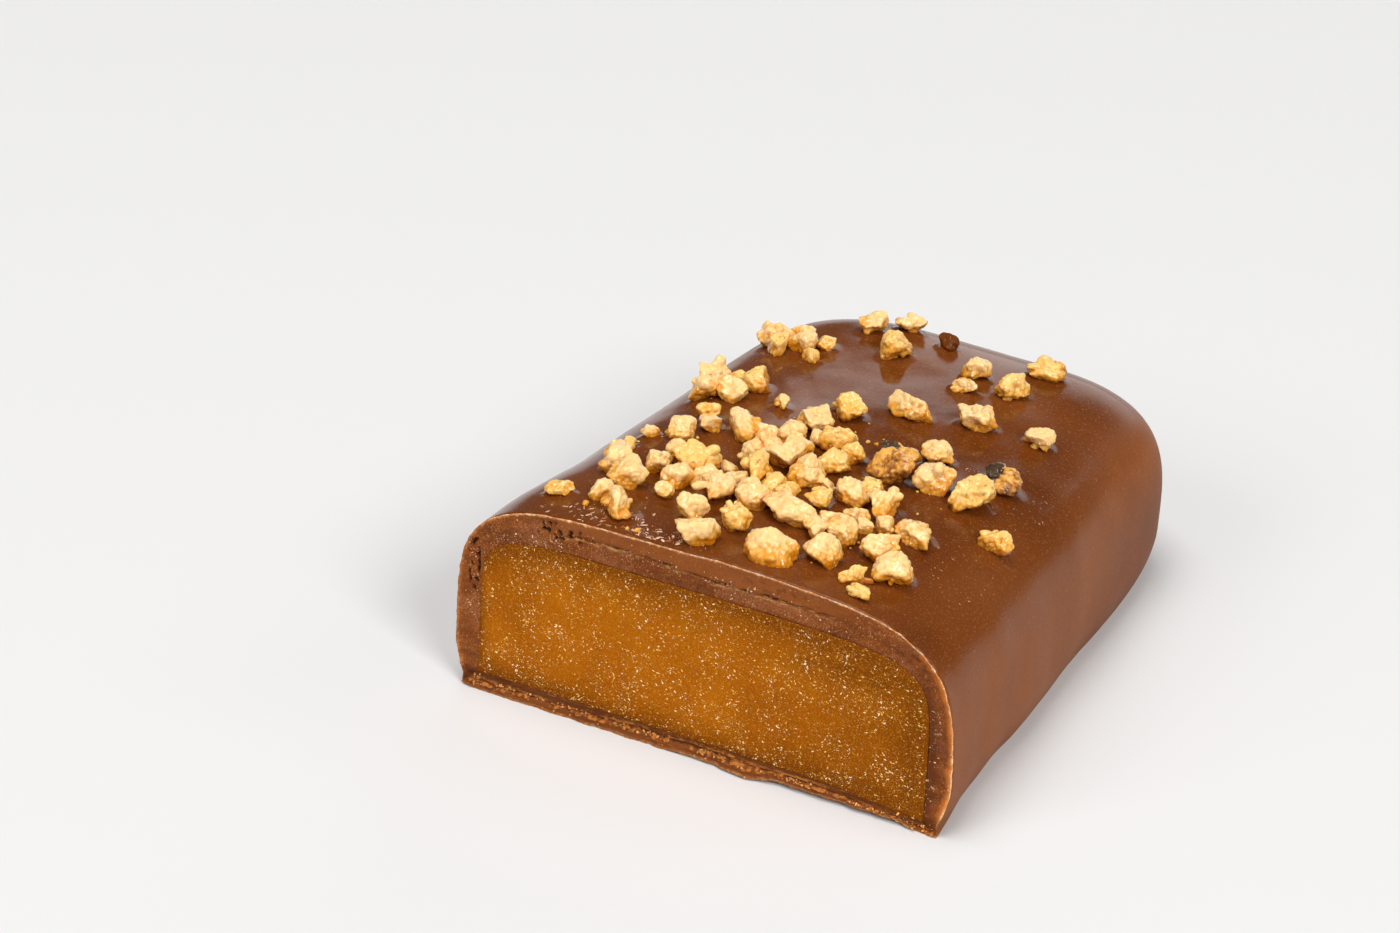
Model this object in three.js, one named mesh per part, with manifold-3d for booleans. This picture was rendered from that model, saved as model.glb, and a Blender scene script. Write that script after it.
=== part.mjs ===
// A cut half of a chocolate-coated peanut toffee: a toffee filling in a milk chocolate coating that
// is open only at the cut, with chopped roasted peanuts set in the chocolate on top.
// Millimetres, +Z up. The cut faces -Y, +X is to the right of it, and the base is flat at Z 0.
import * as THREE from "three";
import { mergeVertices } from "three/addons/utils/BufferGeometryUtils.js";
import Module from "manifold-3d";

// The whole half, as its outer skin. Lengths along the bar are counted from the cut.
const barLength = 46.3;
const barHeight = 15.8;
const barWidth = 38.3; // at its widest line
const baseWidth = 36;
const widestAt = 4.3; // height of the widest line
const endRounding = 10.8; // length over which the far end rounds off
const shoulderPower = 3.9; // a higher power squares the shoulders more
const cornerPower = 3.5; // the same for the far corners, seen from above
const taper = 0.0029; // share of the width lost per millimetre towards the far end
const fall = 0.0023; // share of the height lost per millimetre towards the far end

// The coating's thickness.
const sideWall = 1.75;
const topWall = 2.9;
const baseWall = 1.25;
const lowSideWall = 0.63; // the side walls get thinner towards the base
const thinning = { from: 9, to: 17, depth: 0.55 }; // and the base towards its right
const endWall = 2;
const fillingShoulderPower = 6; // the filling was cut square, so its corners are tighter
const fit = 0.3; // clearance between the filling and the coating

// A narrow foot that the knife pressed out at the sides of the cut, gone this far behind it.
const foot = { reach: 0.5, height: 0.86, run: 4 };

// Low waves in the poured chocolate, in radians per millimetre with the angles that they start at.
const sideWave = { rise: 0.13, along: 0.42, up: 0.3, rightStart: 0.4, leftStart: 2.2 };
const topWave = { rise: 0.14, across: 0.31, along: 0.24, acrossStart: 0.8, alongStart: 0.5 };

// A swelling of the left shoulder just behind the cut.
const swelling = { across: -17, along: 4, radius: 5, rise: 0.3 };

// A lip of chocolate that the knife pushed out at the foot of the cut, with its root behind it.
const lip = { across: 3.9, reach: 0.85, root: 0.6, width: 4.6, height: 1.15 };

// How finely the skins are divided: across, along and up.
const outerSteps = [22, 18, 5];
const innerSteps = [16, 9, 4];
const straightShare = 0.62; // share of the steps along that lie before the end rounding

// The peanut pieces. Size is [length, width, height].
const sunk = 0.14; // share of a piece's height that lies under the chocolate
const placedPieces = [
  { at: [2.1, 7.7], size: [4.5, 2.5, 2.1], turn: -22 },
  { at: [3.8, 2.4], size: [3.4, 2.8, 2.3], turn: 5 },
  { at: [-1.4, 1.8], size: [2.9, 2.7, 2.2], turn: 30 },
  { at: [-3.1, 4.2], size: [2.2, 1.9, 2.2], turn: 0 },
  { at: [11.7, 5.0], size: [3.0, 2.6, 2.2], turn: 60 },
  { at: [9.8, 6.9], size: [2.6, 2.2, 2.2], turn: 20 },
  { at: [9.9, 3.0], size: [2.2, 1.1, 1.4], turn: 35 },
  { at: [10.9, 1.4], size: [2.0, 1.2, 1.2], turn: -20 },
  { at: [6.9, 4.1], size: [2.7, 2.3, 2.2], turn: 75 },
  { at: [10.4, 10.8], size: [3.3, 2.2, 1.7], turn: -12 },
  { at: [5.5, 17.6], size: [3.5, 3.2, 2.5], turn: 40 },
  { at: [4.4, 20.6], size: [3.0, 2.0, 1.6], turn: 10 },
  { at: [8.3, 18.1], size: [2.8, 2.6, 2.6], turn: 80 },
  { at: [6.7, 22.0], size: [2.3, 2.0, 1.7], turn: -30 },
  { at: [11.5, 17.6], size: [2.9, 2.7, 2.3], turn: 15 },
  { at: [11.8, 21.8], size: [3.2, 2.2, 1.7], turn: -18 },
  { at: [14.8, 14.6], size: [2.1, 1.9, 1.6], turn: 50 },
  { at: [2.0, 27.4], size: [3.2, 2.2, 1.9], turn: -28 },
  { at: [6.6, 28.6], size: [2.9, 2.4, 1.8], turn: 12 },
  { at: [11.1, 29.6], size: [2.1, 1.9, 1.5], turn: 0 },
  { at: [6.4, 35.0], size: [2.5, 2.1, 2.1], turn: 65 },
  { at: [3.0, 36.1], size: [2.1, 1.9, 1.8], turn: 25 },
  { at: [3.3, 33.6], size: [2.2, 1.6, 1.2], turn: -15 },
  { at: [7.0, 39.6], size: [2.8, 1.8, 1.8], turn: 8 },
  { at: [-1.2, 40.0], size: [1.5, 1.4, 1.3], turn: 0 },
  { at: [-1.8, 24.8], size: [2.8, 2.1, 1.9], turn: -20 },
  { at: [-3.6, 36.2], size: [2.4, 2.2, 2.1], turn: 45 },
  { at: [-4.9, 41.3], size: [2.4, 1.8, 1.6], turn: 0 },
  { at: [-7.0, 39.5], size: [2.2, 1.9, 1.7], turn: 70 },
  { at: [-13.2, 3.6], size: [1.9, 1.4, 1.0], turn: 15 },
];
const scatteredPatches = [
  { centre: [-9.0, 10.8], reach: [4.6, 9.2], count: 11, largest: 3.0, smallest: 1.8 },
  { centre: [-1.6, 13.2], reach: [4.4, 9.6], count: 17, largest: 2.9, smallest: 1.7 },
  { centre: [5.2, 10.6], reach: [3.4, 4.4], count: 7, largest: 2.6, smallest: 1.8 },
  { centre: [-9.4, 29.5], reach: [4.4, 9.5], count: 9, largest: 2.8, smallest: 1.7 },
];
const scatterSeed = 124;
const shapeSeed = 977;
const triesPerPiece = 60;
const spacing = 0.42; // centres stay this share of the two lengths apart
const cutMargin = 1.5; // how far back from the cut a scattered piece stays

const wasm = await Module();
wasm.setup();

// A seeded draw that gives the same numbers on every run.
function makeDraw(seed) {
  const modulus = 2147483647;
  let state = seed;
  return (low, high) => {
    state = (state * 16807) % modulus;
    return low + ((high - low) * state) / modulus;
  };
}

// One skin of the bar, each of its walls set in from the outer skin by its own thickness.
function makeSkin({ side, lowSide, top, base, end, start = 0, thinned = 0, power = shoulderPower }) {
  return {
    halfWide: barWidth / 2 - side,
    halfBase: baseWidth / 2 - lowSide,
    floor: base,
    thinned,
    high: barHeight - top,
    start,
    endStart: barLength - endRounding,
    endRounding: endRounding - end,
    power,
  };
}

// The half width at a height, as a share of the widest.
function widthShare(skin, y, z) {
  const below = Math.max(0, 1 - z / widestAt);
  const flare = foot.reach * Math.max(0, 1 - z / foot.height) * Math.max(0, 1 - y / foot.run);
  return (skin.halfBase + flare + (skin.halfWide - skin.halfBase) * (1 - below ** 2)) / skin.halfWide;
}

// The skin's height where the plan has been followed to this share of its outline.
function domeAt(skin, share) {
  return widestAt + (skin.high - widestAt) * (1 - Math.min(share, 1) ** skin.power) ** (1 / skin.power);
}

// Low waves: outwards on the sides, and up and down on top, with none under the bar.
function waveOut(x, y, z) {
  const start = x > 0 ? sideWave.rightStart : sideWave.leftStart;
  return sideWave.rise * Math.sin(sideWave.along * y + sideWave.up * z + start);
}
function waveUp(x, y) {
  const away = Math.hypot(x - swelling.across, y - swelling.along) / swelling.radius;
  const across = Math.sin(topWave.across * x + topWave.acrossStart);
  const along = Math.sin(topWave.along * y + topWave.alongStart);
  return topWave.rise * across * along + swelling.rise * Math.exp(-(away ** 2));
}

// Takes a point of a box, which runs from -1 to 1 across and 0 to 1 along and up, to the skin.
function bend(skin, across, along, up) {
  const straight = Math.min(1, along / straightShare);
  const round = Math.max(0, (along - straightShare) / (1 - straightShare));
  const side = Math.sin((across * Math.PI) / 2);
  const tip = Math.sin((round * Math.PI) / 2);
  const share = Math.max(Math.abs(side), tip);
  const outline = (Math.abs(side) ** cornerPower + tip ** cornerPower) ** (1 / cornerPower);
  const drawn = share === 0 ? 1 : share / outline;
  const straightY = skin.start + straight * (skin.endStart - skin.start);
  const width = widthShare(skin, straightY, skin.floor + up * (widestAt - skin.floor));
  const y = straightY + skin.endRounding * tip * drawn * width;
  const x = skin.halfWide * side * drawn * width * (1 - taper * y);
  const floor = skin.floor - skin.thinned * THREE.MathUtils.smoothstep(x, thinning.from, thinning.to);
  const z = (floor + up * (domeAt(skin, share) - floor)) * (1 - fall * y);
  return [x, y, z];
}

function addWaves([x, y, z]) {
  const outwards = Math.abs(x / (barWidth / 2)) ** 4 * Math.sign(x);
  const upwards = (z / barHeight) ** 2;
  return [x + waveOut(x, y, z) * outwards, y, z + waveUp(x, y) * upwards];
}

// The chocolate's height above the base at a place on top.
function topAt(x, y) {
  const skin = outerSkin;
  const side = Math.abs(x) / (1 - taper * y) / skin.halfWide;
  const tip = Math.max(0, (y - skin.endStart) / skin.endRounding);
  const share = (side ** cornerPower + tip ** cornerPower) ** (1 / cornerPower);
  return domeAt(skin, share) * (1 - fall * y) + waveUp(x, y);
}

function positionsOnly(geometry) {
  return mergeVertices(geometry.deleteAttribute("normal").deleteAttribute("uv"), 1e-4);
}

function toSolid(geometry) {
  const merged = positionsOnly(geometry);
  return new wasm.Manifold(
    new wasm.Mesh({
      numProp: 3,
      vertProperties: merged.attributes.position.array,
      triVerts: new Uint32Array(merged.index.array),
    }),
  );
}

function toGeometry(solid) {
  const mesh = solid.getMesh();
  return new THREE.BufferGeometry()
    .setAttribute("position", new THREE.BufferAttribute(mesh.vertProperties, 3))
    .setIndex(new THREE.BufferAttribute(mesh.triVerts, 1));
}

// A box whose points are moved one by one.
function bentBox(steps, move) {
  const geometry = new THREE.BoxGeometry(2, 1, 1, ...steps).translate(0, 0.5, 0.5);
  const points = geometry.attributes.position;
  for (let i = 0; i < points.count; i++) {
    points.setXYZ(i, ...move(points.getX(i), points.getY(i), points.getZ(i)));
  }
  return toSolid(geometry);
}

// The skin at this distance inside the coating's inner face.
function makeInnerSkin(inside, start) {
  return makeSkin({
    side: sideWall + inside,
    lowSide: lowSideWall + inside,
    top: topWall + inside,
    base: baseWall + inside,
    end: endWall + inside,
    start,
    thinned: thinning.depth,
    power: fillingShoulderPower,
  });
}

const outerSkin = makeSkin({ side: 0, lowSide: 0, top: 0, base: 0, end: 0 });
const cavitySkin = makeInnerSkin(0, -3);
const fillingSkin = makeInnerSkin(fit, 0);

// The lip is a flattened ball half under the coating's edge, level with the base.
function makeLip() {
  const geometry = new THREE.SphereGeometry(1, 10, 6);
  geometry.scale(lip.width / 2, lip.reach + lip.root, lip.height / 2);
  geometry.translate(lip.across, lip.root, lip.height / 2);
  return toSolid(geometry);
}

// Scatters pieces over a patch, the largest first, each clear of those already there.
function scatter(pieces, patch, draw) {
  for (let i = 0; i < patch.count; i++) {
    const length = patch.largest - ((patch.largest - patch.smallest) * i) / (patch.count - 1);
    for (let attempt = 0; attempt < triesPerPiece; attempt++) {
      const angle = draw(0, 2 * Math.PI);
      const out = Math.sqrt(draw(0, 1));
      const x = patch.centre[0] + patch.reach[0] * out * Math.cos(angle);
      const y = patch.centre[1] + patch.reach[1] * out * Math.sin(angle);
      const clear = pieces.every(
        (other) =>
          Math.hypot(other.at[0] - x, other.at[1] - y) > spacing * (other.size[0] + length),
      );
      if (clear && y > cutMargin) {
        const size = [length, length * draw(0.75, 0.95), length * draw(0.7, 0.9)];
        pieces.push({ at: [x, y], size, turn: draw(0, 180) });
        break;
      }
    }
  }
}

// One chopped piece: a twelve-sided chunk with its corners pushed in and out.
function makePiece({ at, size, turn }, draw) {
  const geometry = positionsOnly(new THREE.DodecahedronGeometry(1));
  const points = geometry.attributes.position;
  for (let i = 0; i < points.count; i++) {
    const push = draw(0.94, 1.2);
    points.setXYZ(i, points.getX(i) * push, points.getY(i) * push, points.getZ(i) * push);
  }
  geometry.scale(size[0] / 2, size[1] / 2, size[2] / 2);
  geometry.rotateZ(THREE.MathUtils.degToRad(turn));
  geometry.translate(at[0], at[1], topAt(...at) + size[2] * (0.5 - sunk));
  return toSolid(geometry);
}

// Joins solids, fills any hollow that joining sealed and drops loose scraps.
function fuse(solids) {
  const joined = wasm.Manifold.union(solids);
  const bodies = joined.decompose();
  return bodies.reduce((most, body) => (body.volume() > most.volume() ? body : most));
}

function makeCoating() {
  const outer = bentBox(outerSteps, (a, b, c) => addWaves(bend(outerSkin, a, b, c)));
  const cavity = bentBox(innerSteps, (a, b, c) => bend(cavitySkin, a, b, c));
  const pieces = [...placedPieces];
  const draw = makeDraw(scatterSeed);
  scatteredPatches.forEach((patch) => scatter(pieces, patch, draw));
  const drawShape = makeDraw(shapeSeed);
  const shell = outer.add(makeLip()).subtract(cavity);
  return fuse([shell, ...pieces.map((piece) => makePiece(piece, drawShape))]);
}

function makeFilling() {
  return bentBox(innerSteps, (a, b, c) => bend(fillingSkin, a, b, c));
}

function addNode(group, name, solid, look) {
  const mesh = new THREE.Mesh(toGeometry(solid), new THREE.MeshStandardMaterial(look));
  mesh.name = name;
  group.add(mesh);
}

const toffee = new THREE.Group();
addNode(toffee, "chocolate_coating", makeCoating(), { color: 0x7b4526, roughness: 0.4, metalness: 0 });
addNode(toffee, "toffee_filling", makeFilling(), { color: 0xb46a19, roughness: 0.5, metalness: 0 });

// The origin is at the middle of the base, between the lip and the far end.
toffee.position.y = -(barLength - lip.reach) / 2;

export default toffee;
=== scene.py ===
# A cut half of a peanut toffee: milk chocolate over toffee, with chopped peanuts set in its top.
# Shapes are made in millimetres, counted along the bar from the cut, then put in their place.
import bisect
import math

import bpy
import bmesh
from mathutils import Euler, Matrix, Vector, kdtree, noise
from mathutils.bvhtree import BVHTree


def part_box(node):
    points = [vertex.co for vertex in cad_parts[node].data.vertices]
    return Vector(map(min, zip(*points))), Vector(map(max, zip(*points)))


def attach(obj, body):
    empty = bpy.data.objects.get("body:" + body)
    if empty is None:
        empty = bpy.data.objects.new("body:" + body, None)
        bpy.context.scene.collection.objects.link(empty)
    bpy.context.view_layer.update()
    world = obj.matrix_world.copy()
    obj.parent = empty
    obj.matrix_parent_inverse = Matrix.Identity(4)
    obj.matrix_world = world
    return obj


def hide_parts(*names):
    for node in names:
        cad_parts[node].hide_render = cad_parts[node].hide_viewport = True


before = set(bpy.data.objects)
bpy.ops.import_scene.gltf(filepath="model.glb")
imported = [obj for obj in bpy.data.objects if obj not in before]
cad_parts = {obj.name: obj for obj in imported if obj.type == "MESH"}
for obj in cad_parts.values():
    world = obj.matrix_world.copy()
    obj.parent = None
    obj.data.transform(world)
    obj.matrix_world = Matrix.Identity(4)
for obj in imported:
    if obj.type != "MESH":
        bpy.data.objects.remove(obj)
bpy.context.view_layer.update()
mm = 0.001
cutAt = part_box("toffee_filling")[0].y  # the filling is flush with the cut
print("frame loaded")

# camera
view = {
    "azimuth": 27.77,  # degrees to the right of square on to the cut
    "elevation": 28.03,
    "roll": 2.43,
    "distance": 0.288,
    "aim": (-0.00475, -0.01465, 0.01757),
    "lens": 108.2,
    "sensorWidth": 36,
    "clipStart": 0.01,
}


def addObject(name, data):
    added = bpy.data.objects.new(name, data)
    bpy.context.scene.collection.objects.link(added)
    return added


def makeCamera():
    data = bpy.data.cameras.new("camera")
    data.sensor_width = view["sensorWidth"]
    data.sensor_fit = "HORIZONTAL"
    data.lens = view["lens"]
    data.clip_start = view["clipStart"]
    turn = (
        Matrix.Rotation(math.radians(view["azimuth"]), 4, "Z")
        @ Matrix.Rotation(math.radians(90 - view["elevation"]), 4, "X")
        @ Matrix.Rotation(math.radians(view["roll"]), 4, "Z")
    )
    back = Matrix.Translation((0, 0, view["distance"]))
    camera = addObject("camera", data)
    camera.matrix_world = Matrix.Translation(view["aim"]) @ turn @ back
    bpy.context.scene.camera = camera


makeCamera()
print("camera placed")

# the bar's form, the same for the coating and the filling
bar = {
    "length": (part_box("chocolate_coating")[1].y - cutAt) / mm,
    "height": 15.8,
    "width": 38.3,  # at its widest line
    "baseWidth": 36,
    "widestAt": 4.3,
    "endRounding": 10.8,
    "cornerPower": 3.5,
    "taper": 0.0029,
    "fall": 0.0023,
}
noWalls = {"side": 0, "lowSide": 0, "top": 0, "base": 0, "thinned": 0, "end": 0, "power": 3.9}
walls = {"side": 1.87, "lowSide": 0.72, "top": 3.02, "base": 1.37, "thinned": 0.55, "end": 2.15, "power": 6}
thinning = {"from": 9, "to": 17}  # where the base gets thinner, to the right
foot = {"reach": 0.5, "height": 0.86, "run": 4}
sideWave = {"rise": 0.13, "along": 0.42, "up": 0.3, "rightStart": 0.4, "leftStart": 2.2}
topWave = {"rise": 0.14, "across": 0.31, "along": 0.24, "acrossStart": 0.8, "alongStart": 0.5}
swelling = {"across": -17, "along": 4, "radius": 5, "rise": 0.3}
lip = {"across": 3.9, "reach": 0.65, "width": 4.6, "height": 1.15}
atFront = 1e-6  # a share along or up that is less than this counts as none


def makeDraw(seed):  # the same numbers on every run
    modulus = 2147483647
    factor = 16807
    state = [seed]

    def draw(low, high):
        state[0] = state[0] * factor % modulus
        return low + (high - low) * state[0] / modulus

    return draw


def drawSpot(draw, patch):  # a place in an oval patch
    angle = draw(0, 2 * math.pi)
    out = math.sqrt(draw(0, 1))
    x = patch["centre"][0] + patch["reach"][0] * out * math.cos(angle)
    y = patch["centre"][1] + patch["reach"][1] * out * math.sin(angle)
    return x, y


def drawSize(draw, smallest, largest, power=2):  # most of them are small
    return smallest + (largest - smallest) * draw(0, 1) ** power


def smoothStep(low, high, value):
    share = min(max((value - low) / (high - low), 0), 1)
    return share * share * (3 - 2 * share)


def plateau(start, end, blend, value):  # 1 between start and end, and 0 outside
    startBlend, endBlend = blend
    return smoothStep(start, start + startBlend, value) * (1 - smoothStep(end - endBlend, end, value))


def bell(value, width):  # 1 at 0 and less to both sides
    return math.exp(-((value / width) ** 2))


def turnedAlong(place, direction):  # a place whose own Z runs in the direction
    return Matrix.Translation(place) @ direction.to_track_quat("Z", "Y").to_matrix().to_4x4()


def grain(x, y, z, size, seed=0):  # smooth noise from -1 to 1, in lumps of about this size
    return noise.noise(Vector((x / size + seed, y / size - seed, z / size + 2 * seed)))


def evenShares(power, level, rise, count=800):
    # the share of the half width reached at even steps along the dome's own curve
    lengths = [0.0]
    shares = [0.0]
    before = (0.0, rise)
    for i in range(1, count + 1):
        angle = math.pi / 2 * i / count
        share = math.sin(angle) ** (2 / power)
        point = (level * share, rise * math.cos(angle) ** (2 / power))
        lengths.append(lengths[-1] + math.dist(before, point))
        shares.append(share)
        before = point

    def shareAt(step):
        wanted = min(max(step, 0), 1) * lengths[-1]
        i = min(max(bisect.bisect_left(lengths, wanted), 1), count)
        part = (wanted - lengths[i - 1]) / (lengths[i] - lengths[i - 1])
        return shares[i - 1] + part * (shares[i] - shares[i - 1])

    return shareAt


def makeSkin(insets, grown=0):  # each side set in from the outer skin by its wall's thickness
    halfWide = bar["width"] / 2 - insets["side"] + grown
    high = bar["height"] - insets["top"] + grown
    rounding = bar["endRounding"] - insets["end"]
    rise = high - bar["widestAt"]
    return {
        "halfWide": halfWide,
        "halfBase": bar["baseWidth"] / 2 - insets["lowSide"] + grown,
        "floor": insets["base"] - grown,
        "thinned": insets["thinned"],
        "high": high,
        "power": insets["power"],
        "endRounding": rounding,
        "sideShare": evenShares(insets["power"], halfWide, rise),
        "tipShare": evenShares(insets["power"], rounding, rise),
    }


endStart = bar["length"] - bar["endRounding"]
straightShare = 2 / 3  # share of the steps along that lie before the end rounding
outerSkin = makeSkin(noWalls)
cavitySkin = makeSkin(walls)


def halfWidthAt(skin, y, z):
    below = max(0, 1 - z / bar["widestAt"])
    flare = foot["reach"] * max(0, 1 - z / foot["height"]) * max(0, 1 - y / foot["run"])
    return skin["halfBase"] + flare + (skin["halfWide"] - skin["halfBase"]) * (1 - below**2)


def floorAt(skin, x):
    return skin["floor"] - skin["thinned"] * smoothStep(thinning["from"], thinning["to"], x)


def domeAt(skin, share):
    fullness = (1 - min(share, 1) ** skin["power"]) ** (1 / skin["power"])
    return bar["widestAt"] + (skin["high"] - bar["widestAt"]) * fullness


def roundedCorner(side, tip):  # how far out a place lies between the side and the end
    return (side ** bar["cornerPower"] + tip ** bar["cornerPower"]) ** (1 / bar["cornerPower"])


def bend(skin, spot):
    # spot is a place in a box from -1 to 1 across, and 0 to 1 along and up
    straight = min(1, spot[1] / straightShare)
    side = math.copysign(skin["sideShare"](abs(spot[0])), spot[0])
    tip = skin["tipShare"]((spot[1] - straightShare) / (1 - straightShare))
    share = max(abs(side), tip)
    drawn = share / roundedCorner(abs(side), tip) if share else 1
    straightY = straight * endStart
    lowZ = skin["floor"] + spot[2] * (bar["widestAt"] - skin["floor"])
    width = halfWidthAt(skin, straightY, lowZ) / skin["halfWide"]
    y = straightY + skin["endRounding"] * tip * drawn * width
    x = skin["halfWide"] * side * drawn * width * (1 - bar["taper"] * y)
    floor = floorAt(skin, x)
    z = (floor + spot[2] * (domeAt(skin, share) - floor)) * (1 - bar["fall"] * y)
    return Vector((x, y, z))


def waveUp(x, y):
    away = math.hypot(x - swelling["across"], y - swelling["along"])
    across = math.sin(topWave["across"] * x + topWave["acrossStart"])
    along = math.sin(topWave["along"] * y + topWave["alongStart"])
    return topWave["rise"] * across * along + swelling["rise"] * bell(away, swelling["radius"])


def waveOut(x, y, z):
    start = sideWave["rightStart"] if x > 0 else sideWave["leftStart"]
    return sideWave["rise"] * math.sin(sideWave["along"] * y + sideWave["up"] * z + start)


def addWaves(p):
    outwards = math.copysign(abs(p.x / (bar["width"] / 2)) ** 4, p.x)
    upwards = (p.z / bar["height"]) ** 2
    return Vector((p.x + waveOut(*p) * outwards, p.y, p.z + waveUp(p.x, p.y) * upwards))


def topAt(x, y):
    side = abs(x) / (1 - bar["taper"] * y) / outerSkin["halfWide"]
    tip = max(0, (y - endStart) / outerSkin["endRounding"])
    return domeAt(outerSkin, roundedCorner(side, tip)) * (1 - bar["fall"] * y) + waveUp(x, y)


def gridBox(steps, closed=True):  # a box from -1 to 1 across, 0 to 1 along and up, divided evenly
    bm = bmesh.new()
    bmesh.ops.create_cube(bm, size=1)
    bmesh.ops.translate(bm, vec=(0, 0.5, 0.5), verts=bm.verts)
    bmesh.ops.scale(bm, vec=(2, 1, 1), verts=bm.verts)
    if not closed:  # without its front and its base, whose edges stay
        bm.normal_update()
        openings = [f for f in bm.faces if min(f.normal.y, f.normal.z) < -0.5]
        bmesh.ops.delete(bm, geom=openings, context="FACES_ONLY")
    for axis in (2, 1, 0):
        edges = [e for e in bm.edges if abs(e.verts[0].co[axis] - e.verts[1].co[axis]) > 0.5]
        bmesh.ops.subdivide_edges(bm, edges=edges, cuts=steps[axis] - 1, use_grid_fill=True)
    return bm


def addMarks(bm, names):  # numbers kept at each vertex, which the materials read as attributes
    for name in names:
        bm.verts.layers.float.new(name)
    return {name: bm.verts.layers.float[name] for name in names}


def mark(vert, marks, **values):
    for name, value in values.items():
        vert[marks[name]] = value


def addMesh(bm, name, materials):
    mesh = bpy.data.meshes.new(name)
    bm.to_mesh(mesh)
    bm.free()
    for material in materials:
        mesh.materials.append(material)
    return addObject(name, mesh)


def finishPiece(bm, name, materials, slot, replaced, smooth=True):
    bmesh.ops.scale(bm, vec=(mm, mm, mm), verts=bm.verts)
    bmesh.ops.translate(bm, vec=(0, cutAt, 0), verts=bm.verts)
    for face in bm.faces:
        face.smooth = smooth
    print(name, "-", len(bm.faces), "faces")
    piece = addMesh(bm, name, materials)
    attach(piece, "root")
    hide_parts(replaced)


# the peanut pieces' places, the largest and the loose ones listed one by one and the rest scattered
sunk = 0.14  # share of a piece's height that lies under the chocolate
placedPieces = {  # across, along, long, wide, high and turn, and how much dark skin is left
    "pale": [
        (2.1, 7.7, 4.5, 2.5, 2.1, -22),
        (3.8, 2.4, 3.4, 2.8, 2.3, 5),
        (-1.4, 1.8, 2.9, 2.7, 2.2, 30),
        (-3.1, 4.2, 2.2, 1.9, 2.2, 0),
        (11.7, 5.0, 3.0, 2.6, 2.2, 60),
        (9.8, 6.9, 2.6, 2.2, 2.2, 20),
        (6.9, 4.1, 2.7, 2.3, 2.2, 75),
        (10.4, 10.8, 3.3, 2.2, 1.7, -12),
        (8.3, 18.1, 2.8, 2.6, 2.6, 80),
        (6.7, 22.0, 2.3, 2.0, 1.7, -30),
        (2.0, 27.4, 3.2, 2.2, 1.9, -28),
        (6.6, 28.6, 2.9, 2.4, 1.8, 12),
        (11.1, 29.6, 2.1, 1.9, 1.5, 0),
        (3.0, 36.1, 2.1, 1.9, 1.8, 25),
        (3.3, 33.6, 2.2, 1.6, 1.2, -15),
        (-4.9, 41.3, 2.4, 1.8, 1.6, 0),
        (-7.0, 39.5, 2.2, 1.9, 1.7, 70),
    ],
    "golden": [
        (9.9, 3.0, 2.2, 1.1, 1.4, 35),
        (10.9, 1.4, 2.0, 1.2, 1.2, -20),
        (11.5, 17.6, 2.9, 2.7, 2.3, 15),
        (14.8, 14.6, 2.1, 1.9, 1.6, 50),
        (6.4, 35.0, 2.5, 2.1, 2.1, 65),
        (7.0, 39.6, 2.8, 1.8, 1.8, 8),
        (-1.8, 24.8, 2.8, 2.1, 1.9, -20),
        (-3.6, 36.2, 2.4, 2.2, 2.1, 45),
        (-13.2, 3.6, 1.9, 1.4, 1.0, 15),
    ],
    "browned": [
        (5.5, 17.6, 3.5, 3.2, 2.5, 40),
        (4.4, 20.6, 3.0, 2.0, 1.6, 10, 0.75),
        (11.8, 21.8, 3.2, 2.2, 1.7, -18, 1),
    ],
    "covered": [(-1.2, 40.0, 1.5, 1.4, 1.3, 0)],
}
scatter = {
    "patches": [
        {"centre": (-9.0, 10.8), "reach": (4.6, 9.2), "count": 16, "largest": 3.0, "smallest": 1.3},
        {"centre": (-1.6, 13.2), "reach": (4.4, 9.6), "count": 26, "largest": 2.9, "smallest": 1.2},
        {"centre": (5.2, 10.6), "reach": (3.4, 4.4), "count": 12, "largest": 2.6, "smallest": 1.2},
        {"centre": (-9.4, 29.5), "reach": (4.4, 9.5), "count": 12, "largest": 2.8, "smallest": 1.3},
    ],
    "seed": 124,
    "tries": 60,
    "spacing": 0.38,
    "cutMargin": 1.5,
    "widths": (0.75, 0.95),  # shares of the length
    "heights": (0.7, 0.9),
    "goldenShare": 0.28,
    "kindSeed": 41,
}


def describePiece(kind, x, y, long, wide, high, turn, skinned=0):
    return {"kind": kind, "at": (x, y), "size": (long, wide, high), "turn": turn, "skinned": skinned}


def scatterPatch(pieces, patch, draw, drawKind):
    for i in range(patch["count"]):
        long = patch["largest"] - (patch["largest"] - patch["smallest"]) * i / (patch["count"] - 1)
        for attempt in range(scatter["tries"]):
            x, y = drawSpot(draw, patch)
            clear = all(
                math.dist(other["at"], (x, y)) > scatter["spacing"] * (other["size"][0] + long)
                for other in pieces
            )
            if clear and y > scatter["cutMargin"]:
                wide = long * draw(*scatter["widths"])
                high = long * draw(*scatter["heights"])
                kind = "golden" if drawKind(0, 1) < scatter["goldenShare"] else "pale"
                pieces.append(describePiece(kind, x, y, long, wide, high, draw(0, 180)))
                break


def placePieces():
    pieces = [describePiece(kind, *row) for kind in placedPieces for row in placedPieces[kind]]
    draw = makeDraw(scatter["seed"])
    drawKind = makeDraw(scatter["kindSeed"])
    for patch in scatter["patches"]:
        scatterPatch(pieces, patch, draw, drawKind)
    return pieces


peanutPieces = placePieces()
print("peanut pieces placed:", len(peanutPieces))


# materials, whose patterns lie in millimetres on Object coordinates
def feed(socket, value):  # with another node's output, a colour or a number
    if isinstance(value, bpy.types.NodeSocket):
        socket.id_data.links.new(value, socket)
    elif socket.type == "RGBA":
        socket.default_value = (*value, 1)
    else:
        socket.default_value = value


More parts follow.
